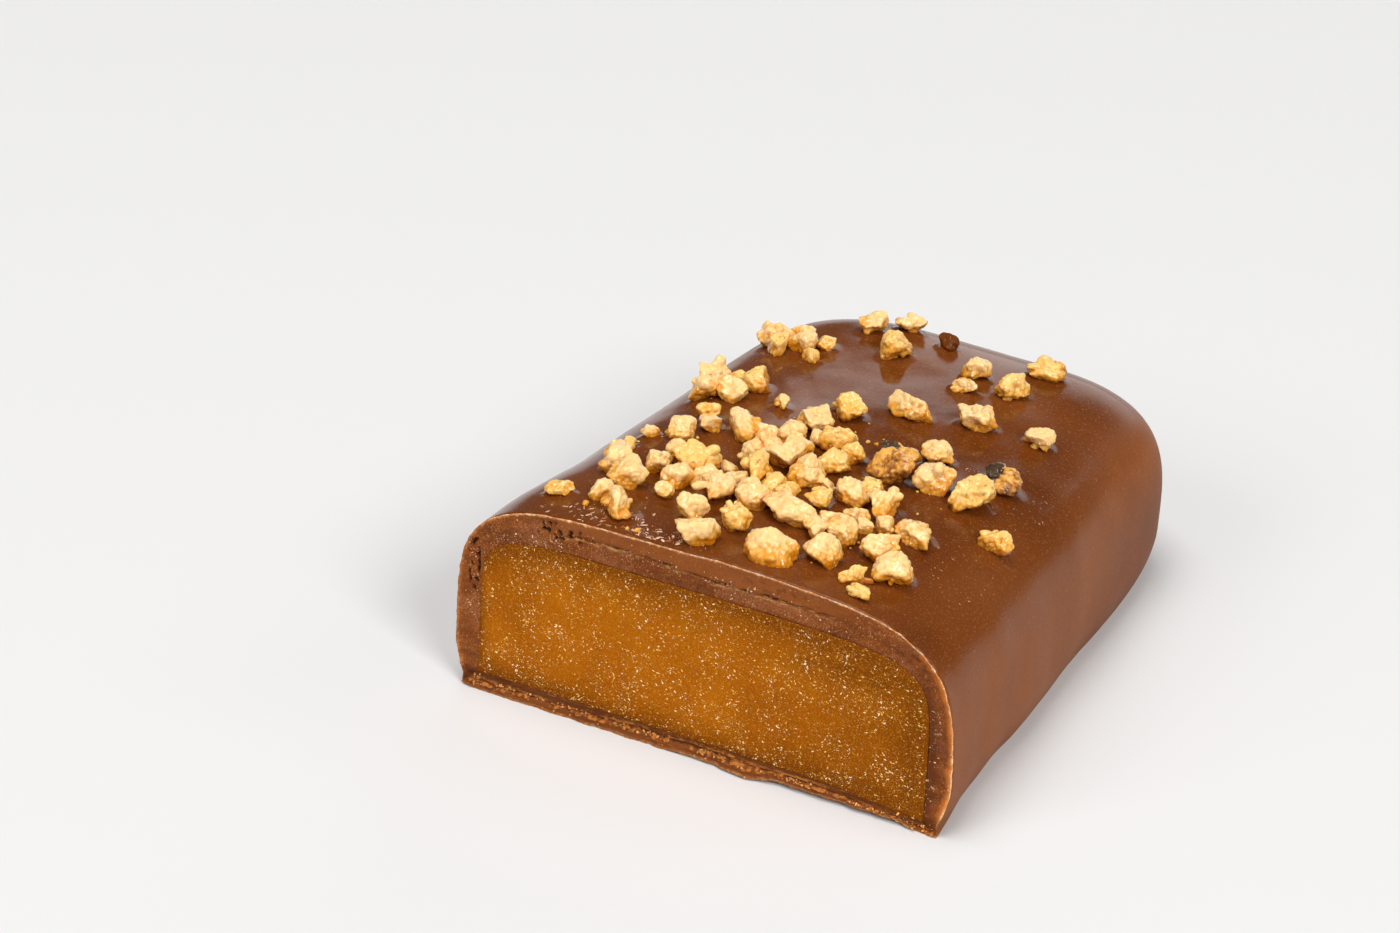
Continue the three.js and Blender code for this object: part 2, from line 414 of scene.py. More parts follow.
def addNode(beside, kind, inputs, **settings):  # in the material that the socket beside is in
    node = beside.id_data.nodes.new("ShaderNode" + kind)
    for name, value in settings.items():
        setattr(node, name, value)
    for name, value in inputs.items():
        feed(node.inputs[name], value)
    return node


def newMaterial(name):
    material = bpy.data.materials.new(name)
    material.use_nodes = True
    coordinates = material.node_tree.nodes.new("ShaderNodeTexCoord")
    return material, coordinates.outputs["Object"]


def finishMaterial(material, colour, roughness, others):
    shader = material.node_tree.nodes["Principled BSDF"]
    for name, value in {"Base Color": colour, "Roughness": roughness, **others}.items():
        feed(shader.inputs[name], value)
    return material


def attribute(place, name):
    return addNode(place, "Attribute", {}, attribute_name=name).outputs["Fac"]


def lumps(place, size, detail=3, roughness=0.5, stretch=(1, 1, 1)):  # noise, size is that of one lump
    mapping = addNode(place, "Mapping", {"Vector": place, "Scale": stretch})
    inputs = {"Vector": mapping.outputs["Vector"], "Scale": 1 / (size * mm)}
    inputs.update({"Detail": detail, "Roughness": roughness})
    return addNode(place, "TexNoise", inputs).outputs["Fac"]


def cells(place, size, long=1, lean=0, feature="F1"):
    # each cell is this many times longer than wide, and leans by this angle on the cut
    inputs = {"Vector": place, "Rotation": (0, math.radians(lean), 0), "Scale": (long, 1, 1)}
    mapping = addNode(place, "Mapping", inputs, vector_type="TEXTURE")
    inputs = {"Vector": mapping.outputs["Vector"], "Scale": 1 / (size * mm)}
    return addNode(place, "TexVoronoi", inputs, feature=feature).outputs["Distance"]


def ramp(value, *stops):  # stops are pairs of a position and a colour or a grey
    node = addNode(value, "ValToRGB", {"Fac": value})
    elements = node.color_ramp.elements
    while len(elements) < len(stops):
        elements.new(0.5)
    for element, (position, colour) in zip(elements, stops):
        element.position = position
        element.color = (*colour, 1) if isinstance(colour, tuple) else (colour, colour, colour, 1)
    return node.outputs["Color"]


def rising(value, low, high, most=1):  # nothing below low, and the most above high
    return ramp(value, (low, 0), (high, most))


def falling(value, low, high, most=1):
    return ramp(value, (low, most), (high, 0))


def reckon(operation, *values):
    return addNode(values[0], "Math", dict(enumerate(values)), operation=operation).outputs[0]


def times(first, *others):
    for other in others:
        first = reckon("MULTIPLY", first, other)
    return first


def scaleAndAdd(value, factor, more):
    return reckon("MULTIPLY_ADD", value, factor, more)


def mix(share, first, second):
    return addNode(share, "Mix", {0: share, 6: first, 7: second}, data_type="RGBA").outputs[2]


def paint(colour, *layers):  # each layer is a share and the colour that it brings
    for share, over in layers:
        colour = mix(share, colour, over)
    return colour


def glints(place, cell, near, patch, chosen):  # bright dots in the middles of small cells, in some patches: painted glints on the filling and the peanuts, and specks on the chocolate
    # a cell is its size, length over width and lean, and a patch is a lump's size, detail and roughness
    return times(falling(cells(place, *cell), *near), rising(lumps(place, *patch), *chosen))


def bump(height, distance, strength, under=None):
    inputs = {"Height": height, "Distance": distance * mm, "Strength": strength}
    if under is not None:
        inputs["Normal"] = under
    return addNode(height, "Bump", inputs).outputs["Normal"]


def makeBody(gloss, glow, glowColour, glowDepth):  # the shader's settings for a waxy or oily body
    return {
        "IOR": 1.45,
        "Specular IOR Level": gloss,
        "Subsurface Weight": glow,
        "Subsurface Radius": glowColour,
        "Subsurface Scale": glowDepth * mm,
    }


chocolateLook = {
    "deep": (0.113, 0.0255, 0.0027),
    "mid": (0.143, 0.0345, 0.004),
    "light": (0.177, 0.048, 0.008),
    "side": (0.262, 0.076, 0.015),  # a thin bloom on the sides, lightened with painted sheen
    "speck": (0.42, 0.18, 0.075),
    "clouds": (9.0, 4),  # size of one lump and detail
    # soft bands of painted sheen down the sides
    "runs": (3.4, 3, 0.55, (1, 1, 0.6)),
    "grains": (0.17, 2, 0.7),
    "specks": ((1.1,), (0.04, 0.08, 0.9), (5, 2), (0.45, 0.65)),
    "polish": (3.2, 6, 0.6),
    "smoothest": 0.08,
    "roughest": 0.18,
    "sideRoughness": 0.55,
    "body": makeBody(0.22, 0.06, (0.9, 0.35, 0.15), 0.6),
}


def chocolateMaterial():
    look = chocolateLook
    material, place = newMaterial("milk_chocolate")
    sideways = attribute(place, "sideways")
    # the sides are lighter with bloom and painted sheen, in soft bands, and fade into painted shade low down
    # far along the bar
    runs = ramp(lumps(place, *look["runs"]), (0.36, 0.72), (0.62, 1.0))
    bloomAndSheen = times(scaleAndAdd(attribute(place, "farness"), -0.6, 1), runs, sideways)
    grains = lumps(place, *look["grains"])
    clouds = lumps(place, *look["clouds"])
    colour = paint(
        ramp(clouds, (0.32, look["deep"]), (0.5, look["mid"]), (0.72, look["light"])),
        (bloomAndSheen, look["side"]),
        (glints(place, *look["specks"]), look["speck"]),
        (rising(grains, 0.57, 0.75, 0.45), look["speck"]),
        (falling(grains, 0.25, 0.42, 0.45), look["deep"]),
    )
    polish = ramp(lumps(place, *look["polish"]), (0.3, look["smoothest"]), (0.7, look["roughest"]))
    roughness = mix(sideways, polish, (look["sideRoughness"],) * 3)
    low = bump(lumps(place, 1.7, 2), 0.04, 0.3)
    fine = bump(lumps(place, 0.22, 3, 0.6), 0.006, 0.4, low)
    return finishMaterial(material, colour, roughness, {"Normal": fine, **look["body"]})


cutLook = {
    "dark": (0.105, 0.024, 0.003),
    "mid": (0.195, 0.046, 0.006),
    "light": (0.30, 0.084, 0.014),
    "outer": (0.27, 0.076, 0.013),  # the layer outside the crack
    "edge": (0.85, 0.36, 0.12),
    "glow": (0.66, 0.19, 0.024),  # the band inside the edge, most of it on the right wall
    "dot": (1.0, 0.78, 0.48),
    "smear": (0.60, 0.29, 0.09),
    # painted shade in the crack's gap and in the pores
    "gap": (0.034, 0.009, 0.002),
    "base": (0.085, 0.020, 0.002),
    "crumb": (0.76, 0.28, 0.05),
    "haze": (0.33, 0.12, 0.05),  # a dull bloom in the rim's left
    "grooveShade": (0.20, 0.056, 0.002),  # painted shade next to the filling, along the groove
    "edgeStart": 0.3,  # millimetres, with the unevenness that is added
    "edgeWidth": 0.24,
    "glowWidth": 0.5,
    "baseShare": 0.6,
    "body": makeBody(0.14, 0.1, (0.9, 0.35, 0.15), 0.6),
}


def cutMaterial():
    look = cutLook
    material, place = newMaterial("cut_chocolate")
    fromEdge = attribute(place, "fromEdge")
    rightward = attribute(place, "rightward")
    crumbly = attribute(place, "crumbly")
    smears = lumps(place, 1.3, 6, 0.68, (0.5, 1, 1.2))
    grains = lumps(place, 0.13, 2, 0.75)
    flecks = rising(grains, 0.55, 0.7, 0.85)
    spread = ramp(lumps(place, 1.3, 4, 0.65), (0.4, 0.15), (0.6, 1.0))
    colour = paint(
        ramp(smears, (0.3, look["dark"]), (0.5, look["mid"]), (0.72, look["light"])),
        (rising(lumps(place, 2.4, 4, 0.6, (0.7, 1, 1)), 0.5, 0.7, 0.5), look["haze"]),
        (falling(grains, 0.3, 0.46, 0.7), look["dark"]),
        (times(flecks, spread), look["smear"]),
    )

    # the right wall is dark by the filling and glows towards its outer edge
    depth = scaleAndAdd(lumps(place, 0.9, 4, 0.65), 0.5, attribute(place, "depth"))
    wavering = scaleAndAdd(lumps(place, 1.1, 3), 0.5, fromEdge)
    glow = falling(wavering, look["edgeStart"], look["edgeStart"] + look["glowWidth"], 0.95)
    colour = paint(
        colour,
        (times(rising(depth, 0.75, 1.0, 0.8), rightward), look["dark"]),
        (times(glow, scaleAndAdd(rightward, 0.95, 0.12)), look["glow"]),
        (rising(depth, 1.14, 1.3, 0.8), look["grooveShade"]),
    )

    # the base is streaky and crumbly
    streaky = lumps(place, 0.55, 5, 0.7, (0.22, 1, 1.3))
    colour = paint(
        colour,
        (times(crumbly, look["baseShare"]), look["base"]),
        (times(falling(streaky, 0.38, 0.52, 0.95), crumbly), look["dark"]),
        (times(rising(streaky, 0.58, 0.72, 0.5), crumbly), look["crumb"]),
        (rising(attribute(place, "crumbs"), 0.1, 0.45, 0.95), look["crumb"]),
    )

    # the crack, with smeared chocolate beside it and painted shade in its gap
    cracked = attribute(place, "cracked")
    away = scaleAndAdd(lumps(place, 0.42, 5, 0.75), 0.8, attribute(place, "crackAway"))
    away = reckon("SUBTRACT", away, 0.4)
    outside = falling(away, 0.0, 0.1, 0.7)
    smeared = ramp(away, (0.04, 0.0), (0.12, 0.9), (0.4, 0.0))
    patchy = rising(lumps(place, 0.4, 5, 0.75, (0.35, 1, 1.5)), 0.47, 0.58)
    near = falling(reckon("ABSOLUTE", away), 0.03, 0.09, 0.95)
    parted = rising(lumps(place, 0.7, 4, 0.7, (0.6, 1, 1)), 0.47, 0.54)
    gap = times(near, cracked, parted)
    colour = paint(
        colour,
        (times(outside, cracked), look["outer"]),
        (times(smeared, cracked, patchy), mix(crumbly, look["smear"], look["crumb"])),
        (gap, look["gap"]),
    )

    # the cut's outer edge catches the light, less on the base and on the left
    uneven = scaleAndAdd(lumps(place, 0.4, 5, 0.8), 0.6, fromEdge)
    edge = falling(uneven, look["edgeStart"], look["edgeStart"] + look["edgeWidth"], 0.95)
    edge = times(edge, scaleAndAdd(crumbly, -0.8, 1), scaleAndAdd(attribute(place, "leftward"), -0.75, 1))
    dotted = rising(lumps(place, 0.28, 2, 0.7), 0.5, 0.6, 0.9)
    colour = paint(
        colour,
        (edge, look["edge"]),
        (times(dotted, edge), look["dot"]),
        # painted shade in the pores
        (attribute(place, "hollow"), look["gap"]),
    )
    streaks = bump(lumps(place, 0.7, 4, 0.5, (0.4, 1, 1.2)), 0.06, 0.5)
    rough = bump(times(streaky, crumbly), 0.25, 0.8, streaks)
    cut = bump(gap, 0.12, -0.8, bump(grains, 0.03, 0.7, rough))
    roughness = ramp(lumps(place, 0.9, 4), (0.3, 0.4), (0.7, 0.65))
    return finishMaterial(material, colour, roughness, {"Normal": cut, **look["body"]})


toffeeLook = {
    "deep": (0.34, 0.088, 0.001),
    "mid": (0.41, 0.112, 0.001),
    "light": (0.48, 0.145, 0.002),
    # painted shade at the filling's edges and towards the right
    "edge": (0.20, 0.050, 0.001),
    "grit": (0.66, 0.29, 0.03),
    "glint": (0.95, 0.62, 0.22),
    "pit": (0.20, 0.045, 0.001),
    "glints": [
        ((0.3, 2.2, -32), (0.08, 0.17, 0.9), (1.6, 3, 0.7), (0.46, 0.62)),
        ((0.17, 2.4, 14), (0.12, 0.24, 0.85), (0.9, 3, 0.7), (0.47, 0.6)),
    ],
    "body": makeBody(0.03, 0.2, (1.0, 0.45, 0.1), 0.5),
}


def toffeeMaterial():
    look = toffeeLook
    material, place = newMaterial("toffee")
    uneven = scaleAndAdd(lumps(place, 1.8, 4), 0.5, attribute(place, "shade"))
    grit = lumps(place, 0.12, 2, 0.75)
    colour = paint(
        ramp(lumps(place, 5), (0.3, look["deep"]), (0.5, look["mid"]), (0.75, look["light"])),
        # painted shade at the edges and to the right, with the brown smudge
        (rising(uneven, 0.3, 1.05), look["edge"]),
        (rising(grit, 0.54, 0.72, 0.75), look["grit"]),
        (falling(grit, 0.28, 0.45, 0.65), look["pit"]),
        *[(glints(place, *row), look["glint"]) for row in look["glints"]],
    )
    roughness = ramp(lumps(place, 0.5, 4), (0.3, 0.38), (0.7, 0.62))
    fine = bump(grit, 0.025, 0.6, bump(lumps(place, 0.6, 3, 0.6), 0.05, 0.5))
    return finishMaterial(material, colour, roughness, {"Normal": fine, **look["body"]})


peanutLooks = {
    "pale": {
        "deep": (0.60, 0.20, 0.003),
        "mid": (0.80, 0.36, 0.038),
        "light": (0.93, 0.60, 0.25),
        "spot": (0.52, 0.20, 0.02),
        "glint": (1.0, 0.90, 0.70),
        "spotShare": 0.2,
        "cloud": 1.6,  # size of the colour's clouds
        "cloudiness": 0.45,
        "darkness": 0.0,
        "glow": 0.3,  # subsurface weight
    },
    "golden": {
        "deep": (0.46, 0.14, 0.007),
        "mid": (0.80, 0.37, 0.04),
        "light": (0.90, 0.55, 0.16),
        "spot": (0.22, 0.06, 0.006),
        "glint": (1.0, 0.85, 0.55),
        "spotShare": 0.6,
        "cloud": 1.4,
        "cloudiness": 0.5,
        "darkness": 0.04,
        "glow": 0.3,
    },
    "browned": {
        "deep": (0.10, 0.03, 0.004),
        "mid": (0.42, 0.145, 0.012),
        "light": (0.78, 0.38, 0.07),
        "spot": (0.06, 0.02, 0.005),
        "glint": (0.95, 0.62, 0.30),
        "spotShare": 0.6,
        "cloud": 1.2,
        "cloudiness": 1.5,
        "darkness": 0.1,
        "glow": 0.1,
    },
}
peanutSurface = {
    "skin": (0.030, 0.018, 0.012),  # the dark skin left on a few pieces
    "shares": {"toast": -0.25, "height": 0.85, "crease": -0.42},  # what each mark adds to the shade: toast is the roast's own colour, height is painted light on the tops and painted shade underneath, and crease is painted shade in the creases
    "glints": ((0.34,), (0.14, 0.24, 0.85), (0.9, 3, 0.7), (0.5, 0.6)),
    "gloss": 0.25,
    "glowColour": (1.0, 0.5, 0.15),
    "glowDepth": 0.5,
    "coat": {"Coat Weight": 0.6, "Coat Roughness": 0.06},
}


def peanutMaterial(kind):
    look = peanutLooks[kind]
    material, place = newMaterial(f"{kind}_peanut")
    middle = 0.6 - look["cloudiness"] / 2 - look["darkness"]
    shade = scaleAndAdd(lumps(place, look["cloud"], 4, 0.6), look["cloudiness"], middle)
    # painted light on the tops, painted shade underneath and in the creases
    for name, share in peanutSurface["shares"].items():
        shade = scaleAndAdd(attribute(place, name), share, shade)
    patchy = scaleAndAdd(lumps(place, 0.3, 4, 0.7), 0.7, attribute(place, "skin"))
    colour = paint(
        ramp(shade, (0.02, look["deep"]), (0.25, look["mid"]), (0.5, look["light"])),
        (rising(lumps(place, 0.5, 3, 0.6), 0.6, 0.7, look["spotShare"]), look["spot"]),
        (rising(patchy, 0.72, 0.86, 0.95), peanutSurface["skin"]),
        (glints(place, *peanutSurface["glints"]), look["glint"]),
    )
    roughness = ramp(lumps(place, 0.3), (0.35, 0.1), (0.6, 0.32))
    knobs = bump(cells(place, 0.42, feature="SMOOTH_F1"), 0.16, -0.8)
    fine = bump(lumps(place, 0.15, 3, 0.7), 0.05, 0.9, knobs)
    surface = peanutSurface
    body = makeBody(surface["gloss"], look["glow"], surface["glowColour"], surface["glowDepth"])
    others = {"Normal": fine, "Coat Normal": knobs, **surface["coat"], **body}
    return finishMaterial(material, colour, roughness, others)


sugarLook = {
    "dull": (0.80, 0.36, 0.04),
    "mid": (0.95, 0.62, 0.18),
    "bright": (1.0, 0.90, 0.56),
    "body": {**makeBody(0.08, 0.3, (1.0, 0.8, 0.5), 0.3), "IOR": 1.5},
}


def sugarMaterial():
    look = sugarLook
    material, place = newMaterial("sugar")
    shine = scaleAndAdd(lumps(place, 0.3, 2), 0.3, attribute(place, "shine"))
    colour = ramp(shine, (0.3, look["dull"]), (0.75, look["mid"]), (1.0, look["bright"]))
    roughness = ramp(lumps(place, 0.1, 2), (0.3, 0.2), (0.7, 0.4))
    return finishMaterial(material, colour, roughness, look["body"])


shavingLook = {
    "brown": (0.36, 0.135, 0.05),
    "pale": (0.88, 0.62, 0.42),
    "amber": (0.36, 0.10, 0.014),  # crumbs at the base
    "gold": (0.84, 0.40, 0.09),
}


def shavingMaterial():
    look = shavingLook
    material, place = newMaterial("chocolate_shavings")
    paleness = scaleAndAdd(lumps(place, 0.3), 0.4, attribute(place, "shine"))
    plain = ramp(paleness, (0.4, look["brown"]), (1.1, look["pale"]))
    warm = ramp(paleness, (0.4, look["amber"]), (1.1, look["gold"]))
    colour = mix(attribute(place, "warmth"), plain, warm)
    roughness = ramp(lumps(place, 0.2, 2), (0.3, 0.25), (0.7, 0.5))
    fine = bump(lumps(place, 0.1, 2), 0.03, 0.6)
    return finishMaterial(material, colour, roughness, {"Normal": fine})


chocolate = chocolateMaterial()
cutChocolate = cutMaterial()
toffee = toffeeMaterial()
peanuts = {kind: peanutMaterial(kind) for kind in peanutLooks}
sugar = sugarMaterial()
shaving = shavingMaterial()
print("materials made")


# the coating: outer skin, cut rim and cavity in one closed mesh
coating = {
    "steps": (236, 196, 14),
    "rimSteps": 26,
    "cavityStations": (0.02, 0.15, 0.667, 0.8, 0.92, 1.0),
    "drift": 0.07,  # height of the slow unevenness on top
    "runs": 0.16,  # depth of the soft runs down the sides
    "climb": 0.17,  # chocolate drawn up round each peanut piece
    "climbWidth": 0.22,
    "climbSearch": 3.2,  # how far round a place pieces are looked for
    "pieceOutline": 0.46,  # a piece's half width at the chocolate, as a share of its size
    "farShadeRange": (20, 38),  # where, along the bar, the sides' bloom and painted sheen climb the far shoulder as painted light and fade low down into painted shade
}
rim = {
    "relief": 0.05,
    "smears": 0.04,  # low waves along the cut
    "fineRelief": 0.025,
    "burr": 0.12,  # how far the cut's outer edge stands out
    "burrWidth": 0.15,
    "shelf": 0.10,
    "topReach": 0.72,  # how far round the top is cracked, as a share of the box's half width
    "crackPlace": 0.5,  # share of the rim's depth
    "crackFrom": -12.5,
    "crackTo": 12.0,
    "crackDepth": 0.26,
    "crackWidth": 0.1,
    "poreSize": 0.4,
    "poreDepth": 0.35,
    # how dark the pores are painted, as painted shade
    "poreDark": 0.92,
    "slab": 0.22,  # how far the base stands out in front of the cut
    "baseCracks": 0.8,
    "seamPlace": 0.62,
    "streakDepth": 0.16,
    "crumbs": 0.24,  # how far crumbs stand out where the base's layers meet
    "crumbsBelow": 0.14,  # how far their middle lies below the seam
    "crumbsWidth": 0.16,
    "ragged": 0.05,  # of the walls' outer edges
    "groove": 0.1,  # between the chocolate and the filling
    "crumble": 0.09,
}
pores = [  # across and up
    {"at": (-11.2, 14.3), "reach": (2.3, 0.8)},
    {"at": (-17.8, 9.9), "reach": (0.5, 2.6)},
]
lifts = [  # where the base's front edge is off the table
    {"from": -20, "to": -17.2, "rise": 0.2},
    {"from": -2.5, "to": 17.4, "rise": 0.16},
    {"from": 5.0, "to": 17.0, "rise": 0.2},
]


def growTree():
    tree = kdtree.KDTree(len(peanutPieces))
    for i, piece in enumerate(peanutPieces):
        tree.insert((*piece["at"], 0), i)
    tree.balance()
    return tree


pieceTree = growTree()


def climbAt(x, y):  # how far the chocolate climbs here, from the nearest piece's outline
    share = 0
    for place, i, away in pieceTree.find_range((x, y, 0), coating["climbSearch"]):
        piece = peanutPieces[i]
        turn = math.radians(piece["turn"])
        dx = x - piece["at"][0]
        dy = y - piece["at"][1]
        halfWidth = piece["size"][1] * coating["pieceOutline"]
        u = (dx * math.cos(turn) + dy * math.sin(turn)) / (piece["size"][0] * coating["pieceOutline"])
        v = (dy * math.cos(turn) - dx * math.sin(turn)) / halfWidth
        out = max(0, (math.hypot(u, v) - 1) * halfWidth)
        share = max(share, bell(out, coating["climbWidth"]))
    return share * coating["climb"] * (0.75 + 0.5 * grain(x, y, 0, 0.9, 7))


def unevenness(p):  # the outer skin's own, on top of the waves
    upwards = smoothStep(0.55, 0.95, p.z / bar["height"])
    sideways = math.copysign(smoothStep(0.8, 0.98, abs(p.x) / (bar["width"] / 2)), p.x)
    rise = coating["drift"] * (grain(p.x, p.y, 0, 6, 3) + 0.3 * grain(p.x, p.y, 0, 2.2, 5))
    if upwards > 0:
        rise += climbAt(p.x, p.y)
    runs = coating["runs"] * grain(p.y, p.z * 0.18, p.x * 0.05, 3.2, 9)
    return Vector((runs * sideways, 0, rise * upwards))


def crackAt(x):  # where the crack runs in the top of the rim, as a share of its depth
    wave = 0.07 * math.sin(0.33 * x + 0.6)
    return rim["crackPlace"] + wave + 0.06 * grain(x, 0, 0, 2, 11) + 0.03 * grain(x, 0, 0, 0.5, 12)


def seamAt(x):  # where the base's two layers meet
    return rim["seamPlace"] + 0.1 * grain(x, 0, 0, 3, 43)


def poreAt(x, z, depth):
    # bubbles lie in two patches, one in the top and one in the left wall, and thinly elsewhere
    porous = 0.25 * smoothStep(0.1, 0.5, grain(x, 0, z, 3.5, 31))
    for patch in pores:
        (across, up), (reach, reachUp) = patch["at"], patch["reach"]
        away = math.hypot((x - across) / reach, (z - up) / reachUp)
        porous = max(porous, 1 - smoothStep(0.6, 1.2, away))
    edges = plateau(0.1, 0.95, (0.15, 0.1), depth)
    return porous * edges * smoothStep(0.15, 0.24, grain(x, 0, z, rim["poreSize"], 29))


def onTop(p, depth, fromEdge):  # gives how far it stands out, how cracked it is and how far the crack is
    cracked = plateau(rim["crackFrom"], rim["crackTo"], (2, 3), p.x)
    away = fromEdge - crackAt(p.x) * walls["top"]
    groove = bell(away, rim["crackWidth"]) * smoothStep(-0.25, 0.15, grain(p.x, 0, 0, 1.1, 23))
    ledge = rim["shelf"] * (1 - smoothStep(-0.1, 0.1, away))
    return (ledge - rim["crackDepth"] * groove) * cracked, cracked, away


def crumbsAt(x, z, away):  # they gather below the seam, and in some places more than in others
    near = bell(away + rim["crumbsBelow"], rim["crumbsWidth"])
    near *= smoothStep(-0.4, 0.0, grain(x, 0, 0, 2.2, 101))
    return near * smoothStep(-0.1, 0.4, grain(x, 0, z, 0.33, 97) + 0.5 * grain(x, 0, z, 0.16, 99))


def onBase(p, depth, fromEdge):  # the base's layers, and the lip that the knife pushed out
    x, y, z = p
    out = rim["slab"] * (1 - smoothStep(0.35, 0.85, depth)) * (0.8 + 0.5 * grain(x, 0, 0, 1.5, 41))
    away = fromEdge - seamAt(x) * floorAt(cavitySkin, x)
    out -= rim["streakDepth"] * bell(away, rim["crackWidth"])
    out += rim["crumbs"] * crumbsAt(x, z, away)
    lipShare = (x - lip["across"]) / (lip["width"] / 2)
    if abs(lipShare) < 1:
        out += (lip["reach"] - rim["slab"]) * (1 - lipShare**2) * (1 - min(z / lip["height"], 1) ** 2)
    return out, rim["baseCracks"], away


def liftAt(x):
    return sum(lift["rise"] * plateau(lift["from"], lift["to"], (1.2, 1.6), x) for lift in lifts)


def shapeRim(vert, spot, marks):
    # moves a place on the cut, and marks how cracked it is and how much painted shade its pores get
    depth = vert[marks["depth"]]
    fromEdge = vert[marks["fromEdge"]]
    x, y, z = vert.co
    inBase = spot.z < atFront
    out = rim["relief"] * grain(x, 0, z, 2.6, 13) + rim["smears"] * grain(x * 0.4, 0, z * 1.6, 0.7, 17)
    out += rim["fineRelief"] * grain(x, 0, z, 0.3, 19)
    cracked = 0
    away = 1
    if inBase:
        step, cracked, away = onBase(vert.co, depth, fromEdge)
        out += step
        mark(vert, marks, crumbs=crumbsAt(x, z, away))
    elif abs(spot.x) < rim["topReach"]:
        step, cracked, away = onTop(vert.co, depth, fromEdge)
        out += step
    if not inBase:
        pore = poreAt(x, z, depth)
        out -= rim["poreDepth"] * pore
        mark(vert, marks, hollow=rim["poreDark"] * pore)
    out *= 1 - smoothStep(0.88, 1, depth)
    out -= rim["groove"] * smoothStep(0.9, 1, depth)
    burr = bell(fromEdge, rim["burrWidth"])
    vert.co.y -= out + rim["burr"] * burr * (0.75 + 0.6 * grain(x, 0, z, 0.8, 47))
    outwards = smoothStep(0.85, 0.95, abs(x) / (bar["width"] / 2))
    vert.co.x += math.copysign(outwards * (1 - depth) * rim["ragged"], x) * grain(0, y, z, 0.6, 49)
    mark(vert, marks, cracked=cracked, crackAway=away, crumbly=1 - smoothStep(1.2, 1.7, z))
    mark(vert, marks, rightward=smoothStep(14.5, 18, x), leftward=smoothStep(15.5, 18, -x))
    if inBase:
        crumbly = grain(x, 0, z, 0.45, 53) + 0.6 * grain(x, 0, 0, 0.17, 59)
        vert.co.z += (1 - depth) * (liftAt(x) + rim["crumble"] * max(0, crumbly))


def extrudeLoop(bm, edges):  # gives the new loop's edges, its vertices and the strip's faces
    made = bmesh.ops.extrude_edge_only(bm, edges=edges)["geom"]
    verts = [g for g in made if isinstance(g, bmesh.types.BMVert)]
    faces = [g for g in made if isinstance(g, bmesh.types.BMFace)]
    ring = set(verts)
    loop = [g for g in made if isinstance(g, bmesh.types.BMEdge) and ring.issuperset(g.verts)]
    return loop, verts, faces


coatingMarks = (
    *("depth", "fromEdge", "cracked", "crackAway", "hollow", "crumbly", "crumbs"),
    *("sideways", "farness", "rightward", "leftward"),
)


def makeCoating():  # gives its surface, on which crumbs are laid
    bm = gridBox(coating["steps"], closed=False)
    marks = addMarks(bm, coatingMarks)
    spots = bm.verts.layers.float_vector.new("spot")
    depths = marks["depth"]
    for vert in bm.verts:
        spot = vert.co.copy()
        vert[spots] = spot
        waved = addWaves(bend(outerSkin, spot))
        vert.co = waved + unevenness(waved)
        x, y, z = vert.co
        # far along the bar the bloom and painted sheen climb the shoulder as painted light, and low down
        # they fade into painted shade
        far = smoothStep(*coating["farShadeRange"], y)
        share = z / (bar["height"] * (1 - bar["fall"] * y))
        sideways = 1 - smoothStep(0.5 + 0.2 * far, 0.92 + 0.1 * far, share)
        farness = far * (1 - smoothStep(0.4, 0.8, share))
        mark(vert, marks, fromEdge=y, sideways=sideways, farness=farness)
    print("coating: skin bent")

    # the rim runs in from the skin's open front, along edges with one face or none
    front = [e for e in bm.edges if len(e.link_faces) < 2 and max(v[spots].y for v in e.verts) < atFront]
    loop, verts, strip = extrudeLoop(bm, front)
    for vert in verts:
        outer = vert.co.copy()
        vert.co = addWaves(bend(cavitySkin, vert[spots]))
        mark(vert, marks, depth=1, fromEdge=(vert.co - outer).length)
    for face in strip:
        face.material_index = 1
    stripEdges = dict.fromkeys(e for f in strip for e in f.edges)  # each edge once, in a fixed order
    rungs = [e for e in stripEdges if e.verts[0][depths] != e.verts[1][depths]]
    lines = [e for e in stripEdges if e.verts[0][depths] == e.verts[1][depths]]

    # the cavity goes on from the rim's inner edge
    for station in coating["cavityStations"]:
        loop, verts, ring = extrudeLoop(bm, loop)
        for vert in verts:
            spot = Vector((vert[spots].x, station, vert[spots].z))
            vert[spots] = spot
            vert.co = addWaves(bend(cavitySkin, spot))
        for face in ring:
            face.material_index = 0
    bmesh.ops.edgeloop_fill(bm, edges=loop)

    # the rim is divided twice as finely along as the skin, and finely across
    halved = bmesh.ops.subdivide_edges(bm, edges=lines, cuts=1, use_grid_fill=True)["geom_inner"]
    newEdges = [g for g in halved if isinstance(g, bmesh.types.BMEdge)]
    rungs += [e for e in newEdges if abs(e.verts[0][depths] - e.verts[1][depths]) > 0.5]
    bmesh.ops.subdivide_edges(bm, edges=rungs, cuts=coating["rimSteps"] - 1, use_grid_fill=True)
    for vert in bm.verts:
        if vert[spots].y < atFront:
            shapeRim(vert, vert[spots], marks)

    # the underside is one face
    under = [e for e in bm.edges if e.is_boundary]
    bmesh.ops.edgeloop_fill(bm, edges=under)
    for edge in under:
        edge.smooth = False
    bmesh.ops.recalc_face_normals(bm, faces=bm.faces)
    surface = BVHTree.FromBMesh(bm)
    finishPiece(bm, "coating", [chocolate, cutChocolate], "milk_chocolate", "chocolate_coating")
    return surface


coatingSurface = makeCoating()

# the filling
filling = {
    "steps": (210, 14, 76),
    "relief": 0.035,
    "fineRelief": 0.02,
    "behind": 0.02,  # how far its face lies behind the cut
    "overlap": 0.04,  # how far it reaches into the coating, so that no gap shows
    "shadeWidth": {"top": 1.5, "base": 1.1, "right": 1.6, "left": 0.4},  # of the painted shade at the edges
    # painted shade towards the right
    "rightShade": 0.38,
    "smudge": {"across": 11.2, "up": 10.5, "reach": (4.4, 1.3), "shade": 0.5},
}


